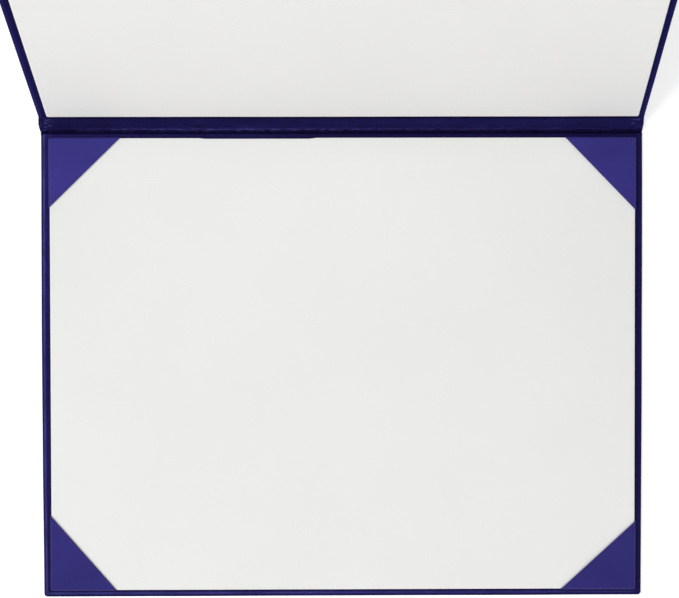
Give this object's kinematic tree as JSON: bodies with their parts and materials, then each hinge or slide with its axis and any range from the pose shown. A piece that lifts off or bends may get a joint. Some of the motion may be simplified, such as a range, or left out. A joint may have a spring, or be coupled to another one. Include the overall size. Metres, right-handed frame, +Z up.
{
  "type": "diploma cover",
  "caption": "Landscape diploma cover in dark leatherette, opening upwards on a soft spine, with a white card, corner pockets for the sheet and a white lid liner.",
  "frame": {"origin": "middle of the base's flat underside, which lies on the table", "axes": "+X to the right along the spine, +Y from the base's front edge to the spine, +Z up from the underside to the white card"},
  "size_m": [0.2878, 0.3448, 0.1973],
  "materials": {
    "leatherette": "fine grained leatherette, dark royal purple, semi-gloss",
    "pocket_leatherette": "smooth leatherette, royal purple, satin",
    "white_paper": "matt white paper",
    "greyboard": "bare grey board, hidden inside the wrap"
  },
  "bodies": {
    "base": {"base_wrap": "leatherette", "base_board": "greyboard", "base_hinge_lining": "leatherette", "base_card": "white_paper", "pocket_front_left": "pocket_leatherette", "pocket_front_right": "pocket_leatherette", "pocket_back_left": "pocket_leatherette", "pocket_back_right": "pocket_leatherette"},
    "spine": {"spine_wrap": "leatherette", "spine_hinge_lining": "leatherette"},
    "lid": {"lid_wrap": "leatherette", "lid_board": "greyboard", "lid_hinge_lining": "leatherette", "lid_liner": "white_paper"}
  },
  "joints": [
    {"name": "spine_fold", "type": "hinge", "parent": "base", "child": "spine", "pos_m": [0, 0.1115, 0.0005], "axis": [1, 0, 0], "range_deg": [-34, 56]},
    {"name": "lid_fold", "type": "hinge", "parent": "spine", "child": "lid", "pos_m": [0, 0.11838, 0.00514], "axis": [1, 0, 0], "range_deg": [-25, 65]}
  ]
}
